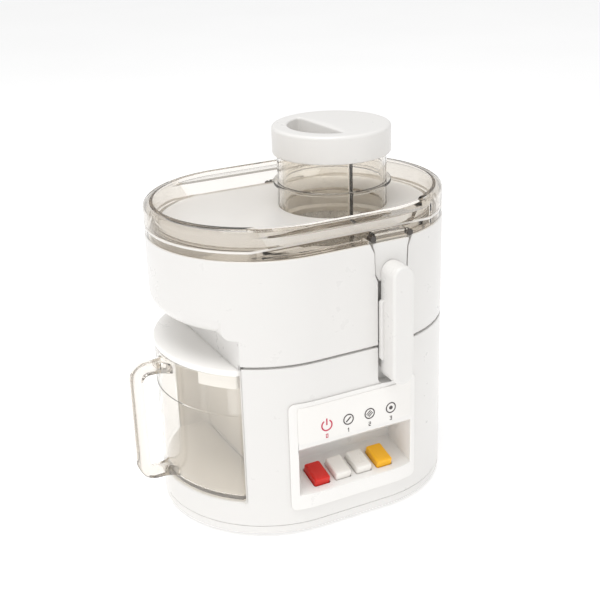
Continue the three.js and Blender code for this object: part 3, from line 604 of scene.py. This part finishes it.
def printed(shapes):
    """Ink on the label: the shapes' front views, a hair proud of the film."""
    near, far = -PROUD - FILM, -PROUD - FILM - 0.2
    film = swept(oval, [(near, 80), (far, 80), (far, 118), (near, 118)], True)
    return common(shapes[0] if len(shapes) == 1 else join(*shapes), film)


def bar(*line):
    return prism(stroke(*line), INK_FRONT, INK_BACK, "y")


def digit(number, x, z):
    lines = [[value * DIGIT_SIZE for value in line] for line in DIGITS[number]]
    return [bar(x + a, z + b, x + c, z + d, 0.55) for a, b, c, d in lines]


def ring(x):
    return hoop(x, ICON_Z, ICON_R, 0.95)


def mark(name, number, shapes, ink=DARK_INK):
    """An icon of the label with its digit under it."""
    ink_shape = printed(shapes + digit(number, ICON_X[number], ICON_Z - DIGIT_DROP))
    piece(f"mark_{name}", ink_shape, ink, "appliance")


off_x, low_x, high_x, pulse_x = ICON_X
gap = 0.55  # half the opening of the power icon's ring, in radians
power = [hoop(off_x, ICON_Z, 4.5, 1.15, PI / 2 + gap, 2.5 * PI - gap)]
mark("off", 0, power + [bar(off_x, ICON_Z + 0.8, off_x, ICON_Z + 5.4, 1.15)], RED_INK)
mark("low", 1, [ring(low_x), bar(low_x - 1.7, ICON_Z - 1.5, low_x + 1.7, ICON_Z + 1.5, 1.1)])
high = [bar(high_x - 1.6 + d, ICON_Z - 1.4 - d, high_x + 1.6 + d, ICON_Z + 1.4 - d, 0.7) for d in (-1.1, 0, 1.1)]
mark("high", 2, [ring(high_x)] + high)
mark("pulse", 3, [ring(pulse_x), prism(circle(1.7, pulse_x, ICON_Z, 24), INK_FRONT, INK_BACK, "y")])


def key():
    """A key in its own frame: y runs up the shelf from its front end, z is the shelf's normal."""
    half = KEY_WIDTH / 2

    def outline(inset):
        return rect(-half + inset, half - inset, inset, KEY_LENGTH - inset, max(0.3, 1.6 - inset * 0.6), 5)

    profile = rounded([(0.3, -9), (0, -8), (0, KEY_HEIGHT, 1.7), (4.5, KEY_HEIGHT)], closed=False, steps=6)
    dished = [(6.2, KEY_HEIGHT - 0.1)]
    return join(swept(outline, profile + dished), box(-3, 3, 7, 15, -13, -8.5, 0.5))


for i, (name, body, material, slot) in enumerate(
    (
        ("off", "off_key", RED, "red"),
        ("low_speed", "low_speed_key", IVORY, "ivory"),
        ("high_speed", "high_speed_key", IVORY, "ivory"),
        ("pulse", "pulse_key", YELLOW, "yellow"),
    )
):
    piece(f"button_{name}", key(), material, body, [f"key_{name}"], matrix=key_place(i))

# ------------------------------------------------------------------ bowl


def about_clamp(side):
    """A clamp's outline from its right half, given from the clamp's middle line."""
    right = [(CLAMP_X + p[0], *p[1:]) for p in side]
    return rounded(right + [(CLAMP_X - p[0], *p[1:]) for p in side[::-1]])


def channel(grow=0.0):
    """The recess in the bowl's side that a clamp lies in, opening like a funnel at its top."""
    half, mouth = CHANNEL_NARROW + grow, 20.5 + grow
    side = [(half, SKIRT - 12), (half, 205.5, 4), (15.3 + grow, 211, 5), (16 + grow, 229, 6)]
    side += [(mouth, 239), (mouth, 268)]
    return prism(about_clamp(side), -100, CHANNEL_Y + grow, "y")


def bowl():
    wall = [(6, SKIRT), (0, SKIRT, 0.9), (0, BOWL_TOP, 0.8), (6, BOWL_TOP)]
    outer = swept(oval, rounded(wall, closed=False))
    high = OVER_JUG + BELLY
    below = SKIRT - 3
    gap = [(-140, below), (BAY_EDGE, below), (BAY_EDGE, STEP), (FOOT, STEP, 6), (FOOT, high), (-140, high)]
    belly = swept(oval, rounded([(30, OVER_JUG), (0, OVER_JUG, BELLY), (0, 215)], closed=False, steps=14))
    kept = common(belly, box(-140, FOOT, -100, 100, 100, 260))
    over_jug = cut(prism(rounded(gap, steps=8), -100, 100, "y"), kept)
    shell = cut(outer, over_jug)
    shell = bevelled(shell, 0.8, 3, 40, lambda p: 1.0 if p.z < STEP - 1 and p.x < BAY_EDGE + 1 else 0.0)
    under = common(prism(oval(WALL), 140, STEP - 2), box(BAY_EDGE + WALL, 140, -100, 100, 100, 200))
    shell = cut(shell, prism(oval(WALL), BOWL_FLOOR, BOWL_TOP + 2), under)
    backing = common(channel(2.5), prism(oval(0.5), SKIRT + 0.5, BOWL_TOP - 0.4))
    shell = cut(join(shell, *both(backing)), *both(channel()))
    well = lathe([(72.5, 158), (72.5, 214)])
    spout = join(box(-84, -29, -14, 14, 158, 184, 3), box(-84, -64, -14, 14, 151.5, 161, 3))
    lip = box(BAY_EDGE, BAY_EDGE + WALL, -70, 70, LIP_FOOT, SKIRT + 2)
    shell = join(shell, well, spout, lip)
    bore = [lathe([(70, 160.5), (70, 216)])]
    bore += [box(-82, -29, -12, 12, 160.5, 182.2, 2), box(-82, -66, -12, 12, 149, 162, 2)]
    shell = join(cut(shell, *bore), tube(16, 0, 158, 176))
    return cut(shell, lathe([(14, 150), (14, 178)]))


piece("bowl_shell", bowl(), WHITE, "appliance", ["juice_bowl"])

# ------------------------------------------------------------------ lid and feed tube


def between_ledges(y, z0, z1):
    return box(-130, 130, -y, y, z0, z1)


def lid():
    envelope = [(40, LID_BOTTOM), (LID_EDGE, LID_BOTTOM, 0.5), (LID_EDGE, LID_TOP, 4.2), (40, LID_TOP)]
    envelope = rounded(envelope, closed=False, steps=8)
    tray = [(40, LID_FLOOR), (11.8, LID_FLOOR, 2.6), (8.2, LID_TOP, 0.9), (3.0, LID_TOP + 3)]
    tray = rounded(tray, closed=False, steps=5)
    grown = rounded([(40, 241.5), (9.6, 241.5, 2.4), (5.6, 259.2), (5.2, 262)], closed=False, steps=5)
    flat = LEDGE_Y - LID_PLATE
    lower = common(swept(oval, tray), between_ledges(flat, 240, 280))
    upper = [(40, 257.4), (5.2, 257.4, 1.2), (4.4, LID_TOP, 0.6), (0.5, LID_TOP + 3)]
    upper = cut(swept(oval, rounded(upper, closed=False, steps=4)), between_ledges(flat - 3, 250, 280))
    under = rounded([(40, 234), (WALL, 234), (WALL, 259, 2.4), (40, 259)], closed=False)
    under = cut(swept(oval, under), swept(oval, grown))
    under = common(under, between_ledges(flat, 230, 262))
    beyond = prism(rect(-130, 130, -110, -LEDGE_Y), FLANGE_TOP, LIP_BOTTOM)
    notch = cut(channel(0.5), box(-130, 130, -110, 0, LIP_BOTTOM - 1, 290))
    shell = cut(swept(oval, envelope), lower, upper, under, *both(beyond), *both(notch))
    lip = cut(
        swept(oval, rounded([(5, 232.4), (7.2, 232.4), (7.2, 243), (5, 243)]), True),
        *both(channel(2.9)),
        *both(beyond),
    )
    return cut(join(shell, lip), tube(LID_HOLE, 0, 190, 310))


def feed_tube():
    post = tube(TUBE_RADIUS, 0, 200, TUBE_TOP, edge=0.8)
    ring = tube(48.6, 0, 262.2, 264.6, edge=0.7)
    return cut(join(post, ring), tube(TUBE_BORE, 0, 190, 310))


piece("smoked_lid", lid(), SMOKED_LID, "appliance", ["feed_lid"])
piece("feed_tube", feed_tube(), SMOKED_TUBE, "appliance", ["feed_lid"])

# ------------------------------------------------------------------ pusher


def chord_circle(radius, chord):
    """The part of a circle about the tube's axis left of a chord, turned with the pusher."""
    start, clear = math.acos(chord / radius), 6 / radius
    ends = [(chord, math.sqrt(radius**2 - chord**2) * side, 2.2) for side in (1, -1)]
    shape = rounded([ends[0], *arc(0, 0, radius, start + clear, 2 * PI - start - clear, 56), ends[1]])
    cosine, sine = math.cos(PUSHER_TURN), math.sin(PUSHER_TURN)
    return [(AXIS_X + x * cosine - y * sine, x * sine + y * cosine) for x, y in shape]


def pocket(inset=0.0):
    return chord_circle(35.5 - inset, CHORD - inset)


def pusher_cap():
    inside = CAP_RADIUS - 3
    profile = [(1, 303.4), (inside, 303.4, 0.5), (inside, CAP_SKIRT, 0.4)]
    profile += [(CAP_RADIUS, CAP_SKIRT, 1.2), (CAP_RADIUS, CAP_TOP, 2.6), (1, CAP_TOP)]
    cup = prism(pocket(-1.2), 286, 309)
    opening = swept(pocket, [(5, 288), (2, 288.6), (0.6, 290), (0, 292), (0, 311)])
    rim = swept(pocket, [(0, 308.9), (-0.3, 309.7), (-0.8, 310.2), (-1.6, 310.5), (-2, 312)])
    return cut(join(lathe(rounded(profile, closed=False)), cup), opening, rim)


def pusher_body():
    def shell(inset):
        foot = PUSHER_FOOT + inset
        profile = rounded([(8, foot), (0, foot, 3), (0, 303 + inset)], closed=False)
        return swept(lambda i: chord_circle(PUSHER_RADIUS - inset - i, CHORD + 3.6 - inset - i), profile)

    return cut(shell(0), shell(PUSHER_WALL))


piece("plunger_cap", pusher_cap(), WHITE, "pusher", ["pusher_cap"])
piece("plunger_body", pusher_body(), SMOKED_PUSHER, "pusher", ["pusher_body"])

# ------------------------------------------------------------------ clamps


def lever(inset=0.0):
    r = 9.5 - inset
    low, high = CLAMP_FOOT + 9.5, CLAMP_TOP - 9.5
    return arc(CLAMP_X, low, r, PI, 2 * PI, 24) + arc(CLAMP_X, high, r, 0, PI, 24)


def clamp():
    front = rounded([(5, -111), (0, -111, 2.4), (0, -92)], closed=False, steps=6)
    handle = swept(lever, front, axis="y")
    hollow = swept(lever, [(3.2, -108.7), (2.3, -107.8), (2.3, -90)], axis="y")
    sides = rect(CLAMP_X - 12.1, CLAMP_X + 12.1, 139.5, 190.5, 2.5)
    skirt = prism(sides, -97, -92, "y")
    skirt = cut(bevelled(skirt, 1.0), box(CLAMP_X - 9, CLAMP_X + 9, -99, -91, 138.5, 191.5))
    slot = box(CLAMP_X - 7.2, CLAMP_X + 7.2, -101, -91, 111.5, 133.5)
    pin = tube(2.4, 0, CLAMP_X - 9, CLAMP_X + 9, -PIN_Y, PIN_Z, 0.1, "x", 32)
    body = cut(join(handle, skirt), hollow, slot, pin)
    side = [(10.6, 205, 3), (14.1, 211.5, 6), (14.7, 229, 8), (16.6, 236.6, 1)]
    plate = bevelled(prism(about_clamp(side), -91.6, -88.5, "y"), 0.6, 3)
    return join(body, plate, box(CLAMP_X - 6, CLAMP_X + 6, -93, -88.5, 205.5, 217))


def clamp_hook():
    """The smoked catch on the clamp's plate that reaches over the lid's flange."""
    outline = [(-92.4, 236.9, 0.8), (-88.6, 236.9), (-88.6, 241.2)]
    outline += [(-82.6, 241.2, 0.6), (-82.6, 244, 1.4), (-92.4, 244, 2.2)]
    return prism(rounded(outline), CLAMP_X - 14.4, CLAMP_X + 14.4, "x")


def hook_ends():
    return [tube(2.7, 0, -93, -86.5, CLAMP_X + dx, 240.4, 0.7, "y", 40) for dx in (-16.4, 16.4)]


for side, turn in (("front", 0), ("back", PI)):
    middle = Matrix.Translation((CLAMP_X, 0, 0))
    place = middle @ Matrix.Rotation(turn, 4, "Z") @ middle.inverted()
    body = f"{side}_clamp"
    piece(f"latch_{side}", clamp(), WHITE, body, [f"clamp_{side}"], matrix=place)
    piece(f"latch_catch_{side}", clamp_hook(), SMOKED_PUSHER, body, [f"clamp_{side}"], matrix=place)
    for number, end in enumerate(hook_ends(), 1):
        # dark discs at the catch's ends, painted shade standing in for the shade inside its pivot holes
        piece(f"latch_pivot_{side}_{number}", end, PIVOT_HOLE_SHADE, body, matrix=place)

# ------------------------------------------------------------------ jug


def jug_plan(inset=0.0):
    """The body's round end in front, straight cheeks and small corners behind."""
    r, half = END_RADIUS - inset, JUG_CHEEK - inset
    start = math.asin(half / r)
    front = arc(-STRAIGHT, 0, r, PI - start, PI + start, 60)
    corner, back = max(1.0, 8 - inset), JUG_BACK - inset
    rear = [(-80, -half), (back, -half, corner), (back, half, corner), (-80, half)]
    return front + rounded(rear, closed=False, steps=8)


def handle():
    """A flat bar bent to a loop, its two ends flaring where they meet the jug's wall."""
    ends = [-119.0 - 2.0 * k for k in range(8)]
    loop = [(-134, HANDLE_LOW), (HANDLE_OUT, HANDLE_LOW, 10), (HANDLE_OUT, HANDLE_HIGH, 10), (-134, HANDLE_HIGH)]
    path = [(x, HANDLE_LOW) for x in ends]
    path += rounded(loop, closed=False, steps=12)[1:-1]
    path += [(x, HANDLE_HIGH) for x in ends[::-1]]
    rings, count = [], len(path)
    for i, (x, z) in enumerate(path):
        (x0, z0), (x1, z1) = path[max(i - 1, 0)], path[min(i + 1, count - 1)]
        along = Vector((x1 - x0, z1 - z0)).normalized()
        flare = max(0.0, (x + 133) / 14) ** 2
        wide, thick = 6.2 + 14 * flare, 5.0 - 1.2 * flare
        section = rect(-wide, wide, -thick, thick, 3.2, 5)
        rings.append([(x - along.y * up, HANDLE_Y + across, z + along.x * up) for across, up in section])
    return loft(rings)


def jug():
    outer = [(16, JUG_BASE), (0.2, JUG_BASE, 4), (0.05, 109.2, 0.2), (0.55, 109.8, 0.2)]
    outer = rounded(outer + [(0.5, JUG_RIM, 0.7), (3, JUG_RIM)], closed=False)
    floor_top = JUG_BASE + 3
    inner = rounded([(16, floor_top), (2.8, floor_top, 3), (2.7, 146)], closed=False)
    return cut(swept(jug_plan, outer), swept(jug_plan, inner))


loop = cut(handle(), prism(jug_plan(0.5), 20, 160))
piece("jug_handle", loop, SMOKED_HANDLE, "jug", ["juice_jug"])
piece("clear_jug", jug(), SMOKED_JUG, "jug", ["juice_jug"])


def jug_lid():
    top = [(10, 143.7), (0, 143.7, 0.6), (0, JUG_LID_TOP, 1.6), (10, JUG_LID_TOP)]
    top = swept(jug_plan, rounded(top, closed=False, steps=5))
    collar = swept(jug_plan, rounded([(2.9, 132, 0.5), (4.9, 132, 0.5), (4.9, 145), (2.9, 145)]), True)
    collar = cut(collar, box(-140, -104, -44, 44, 131, 143.69))
    inlet = box(-88, -64.5, -17, 17, 131, 150, 4)
    return cut(join(top, collar), inlet)


# the jug's lid takes the lighter white, painted light against the shade under the bowl
piece("jug_cover", jug_lid(), SHADE_LIFTED_WHITE, "jug", ["jug_lid"])

# ------------------------------------------------------------------ finishes of the CAD nodes that show

FINISHES = {
    "base_screw": STEEL,
    "switch_block": BLACK,
    "stator_core": LAMINATION,
    "field_winding": COPPER,
    "brush_holder": BRASS,
    "carbon_brush": CARBON,
    "motor_bolt": STEEL,
    "upper_bracket": SHEET_STEEL,
    "lower_bracket": SHEET_STEEL,
    "upper_bearing": STEEL,
    "lower_bearing": BRASS,
    "deck_seal": RUBBER,
    "clamp_pin": STEEL,
    "lid_gasket": SEAL,
    "motor_shaft": STEEL,
    "armature_core": LAMINATION,
    "armature_winding": COPPER,
    "commutator": BRASS,
    "cooling_fan": BLACK,
    "drive_coupling": BLACK,
    "basket_hub": WHITE,
    "grater_disc": SHEET_STEEL,
    "filter_mesh": SHEET_STEEL,
    "basket_rim": WHITE,
}
for name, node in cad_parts.items():
    found = [finish for start, finish in FINISHES.items() if name.startswith(start)]
    if found:
        node.data.materials.clear()
        node.data.materials.append(found[0])

# ------------------------------------------------------------------ floor, light and camera

floor_mesh = bpy.data.meshes.new("floor")
floor_mesh.from_pydata([(-6, -6, 0), (6, -6, 0), (6, 6, 0), (-6, 6, 0)], [], [(0, 1, 2, 3)])
paper = Nodes("studio_paper")
paper.link(
    paper.ramp(paper.noise(3, 2), [(0.3, (0.93, 0.93, 0.93)), (0.7, (0.95, 0.95, 0.95))]),
    paper.shader.inputs["Base Color"],
)
paper.set(Roughness=0.9, Emission_Color=(1, 1, 1, 1), Emission_Strength=0.3)
floor_mesh.materials.append(paper.material)
floor = bpy.data.objects.new("floor", floor_mesh)
bpy.context.scene.collection.objects.link(floor)

world = bpy.data.worlds.new("studio")
world.use_nodes = True
sky = world.node_tree
sky.nodes["Background"].inputs["Color"].default_value = (1, 1, 1, 1)
seen = sky.nodes.new("ShaderNodeMapRange")
seen.inputs["To Min"].default_value, seen.inputs["To Max"].default_value = SKY, SKY_SEEN
sky.links.new(sky.nodes.new("ShaderNodeLightPath").outputs["Is Camera Ray"], seen.inputs["Value"])
sky.links.new(seen.outputs["Result"], sky.nodes["Background"].inputs["Strength"])
bpy.context.scene.world = world


def softbox(name, place, target, width, height, power):
    """A soft lamp, turned to a target; places and sizes in metres, power in watts."""
    data = bpy.data.lights.new(name, "AREA")
    data.shape, data.size, data.size_y, data.energy = "RECTANGLE", width, height, power
    lamp = bpy.data.objects.new(name, data)
    lamp.location = place
    lamp.rotation_mode = "QUATERNION"
    lamp.rotation_quaternion = (Vector(target) - Vector(place)).to_track_quat("-Z", "Y")
    bpy.context.scene.collection.objects.link(lamp)


softbox("key_light", (-0.4, -0.3, 1.9), (0, 0, 0.15), 1.0, 1.0, 18)
softbox("left_fill", (-1.8, -0.8, 0.85), (0, 0, 0.15), 1.0, 0.8, 4.2)
softbox("side_fill", (0.8, -1.7, 0.35), (0, 0, 0.12), 0.9, 0.6, 2.0)

azimuth, elevation, roll = math.radians(-26.81), math.radians(21.87), math.radians(-1.79)
back = Vector(
    (math.sin(azimuth) * math.cos(elevation), -math.cos(azimuth) * math.cos(elevation), math.sin(elevation))
)
camera_data = bpy.data.cameras.new("camera")
camera_data.lens, camera_data.sensor_width = LENS, SENSOR
camera = bpy.data.objects.new("camera", camera_data)
camera.location = CAMERA_PLACE
camera.rotation_mode = "QUATERNION"
camera.rotation_quaternion = (-back).to_track_quat("-Z", "Y") @ Quaternion((0, 0, 1), roll)
bpy.context.scene.collection.objects.link(camera)
bpy.context.scene.camera = camera
bpy.context.scene.view_settings.view_transform = "Standard"
for limit in ("max_bounces", "transmission_bounces", "transparent_max_bounces"):
    setattr(bpy.context.scene.cycles, limit, BOUNCES)
